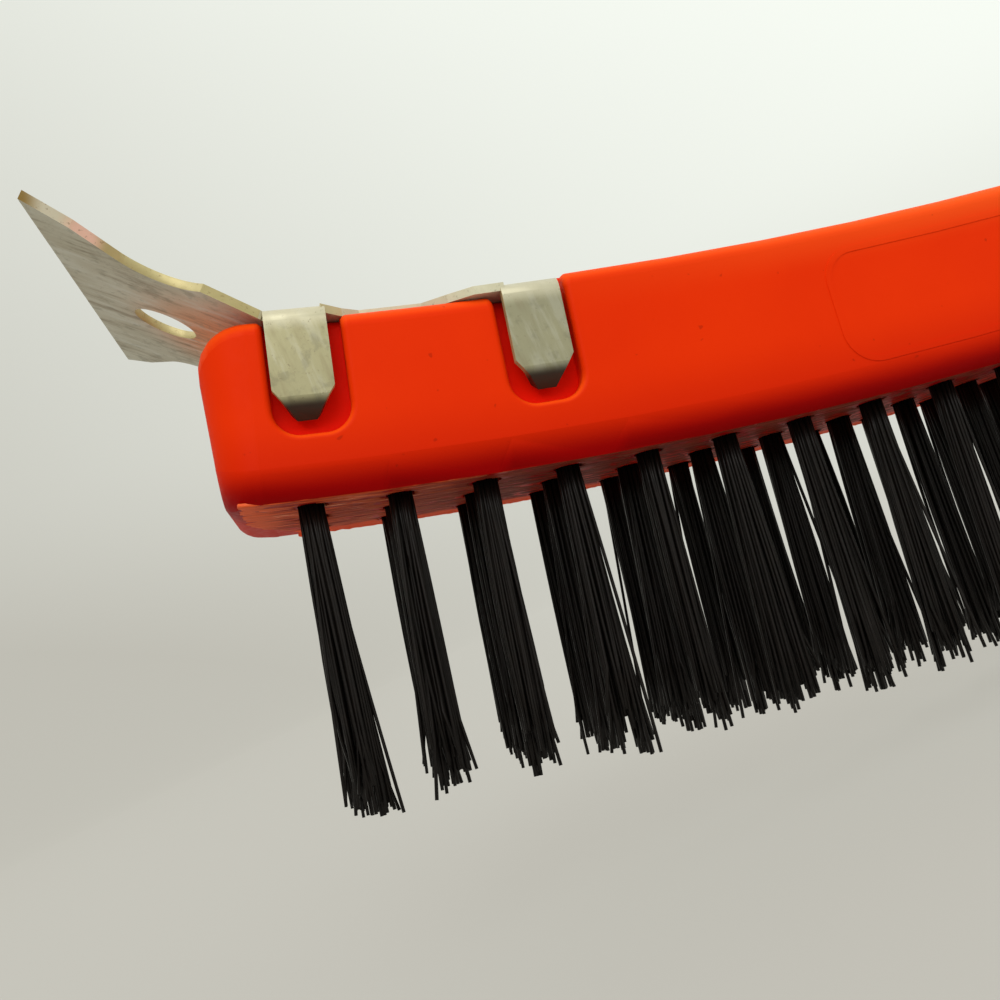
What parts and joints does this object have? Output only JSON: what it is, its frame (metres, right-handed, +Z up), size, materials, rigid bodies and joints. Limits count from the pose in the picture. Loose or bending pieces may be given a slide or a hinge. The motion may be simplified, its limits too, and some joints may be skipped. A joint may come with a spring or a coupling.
{
  "type": "wire brush",
  "caption": "Hand wire scratch brush with a curved plastic block and handle, rows of steel wire tufts and a clip-on steel scraper blade at the head.",
  "frame": {"origin": "centre of the bounding box in plan, at the level of the lowest wire tips, on which the brush rests", "axes": "+X along the length from the scraper to the grip, +Y across the block, +Z up, away from the bristles"},
  "size_m": [0.3396, 0.042, 0.076],
  "materials": {
    "plastic": "satin moulded polypropylene, orange",
    "scraper_steel": "zinc-plated sheet steel, dull and slightly stained",
    "anchor_steel": "flat steel wire",
    "wire": "dark oil-tempered carbon steel wire"
  },
  "bodies": {
    "root": {"anchors": "anchor_steel", "handle": "plastic", "scraper": "scraper_steel", "tuft_r1_c01": "wire", "tuft_r1_c02": "wire", "tuft_r1_c03": "wire", "tuft_r1_c04": "wire", "tuft_r1_c05": "wire", "tuft_r1_c06": "wire", "tuft_r1_c07": "wire", "tuft_r1_c08": "wire", "tuft_r1_c09": "wire", "tuft_r1_c10": "wire", "tuft_r1_c11": "wire", "tuft_r1_c12": "wire", "tuft_r1_c13": "wire", "tuft_r1_c14": "wire", "tuft_r1_c15": "wire", "tuft_r1_c16": "wire", "tuft_r1_c17": "wire", "tuft_r1_c18": "wire", "tuft_r1_c19": "wire", "tuft_r2_c01": "wire", "tuft_r2_c02": "wire", "tuft_r2_c03": "wire", "tuft_r2_c04": "wire", "tuft_r2_c05": "wire", "tuft_r2_c06": "wire", "tuft_r2_c07": "wire", "tuft_r2_c08": "wire", "tuft_r2_c09": "wire", "tuft_r2_c10": "wire", "tuft_r2_c11": "wire", "tuft_r2_c12": "wire", "tuft_r2_c13": "wire", "tuft_r2_c14": "wire", "tuft_r2_c15": "wire", "tuft_r2_c16": "wire", "tuft_r2_c17": "wire", "tuft_r2_c18": "wire", "tuft_r2_c19": "wire", "tuft_r3_c01": "wire", "tuft_r3_c02": "wire", "tuft_r3_c03": "wire", "tuft_r3_c04": "wire", "tuft_r3_c05": "wire", "tuft_r3_c06": "wire", "tuft_r3_c07": "wire", "tuft_r3_c08": "wire", "tuft_r3_c09": "wire", "tuft_r3_c10": "wire", "tuft_r3_c11": "wire", "tuft_r3_c12": "wire", "tuft_r3_c13": "wire", "tuft_r3_c14": "wire", "tuft_r3_c15": "wire", "tuft_r3_c16": "wire", "tuft_r3_c17": "wire", "tuft_r3_c18": "wire", "tuft_r3_c19": "wire"}
  },
  "joints": []
}
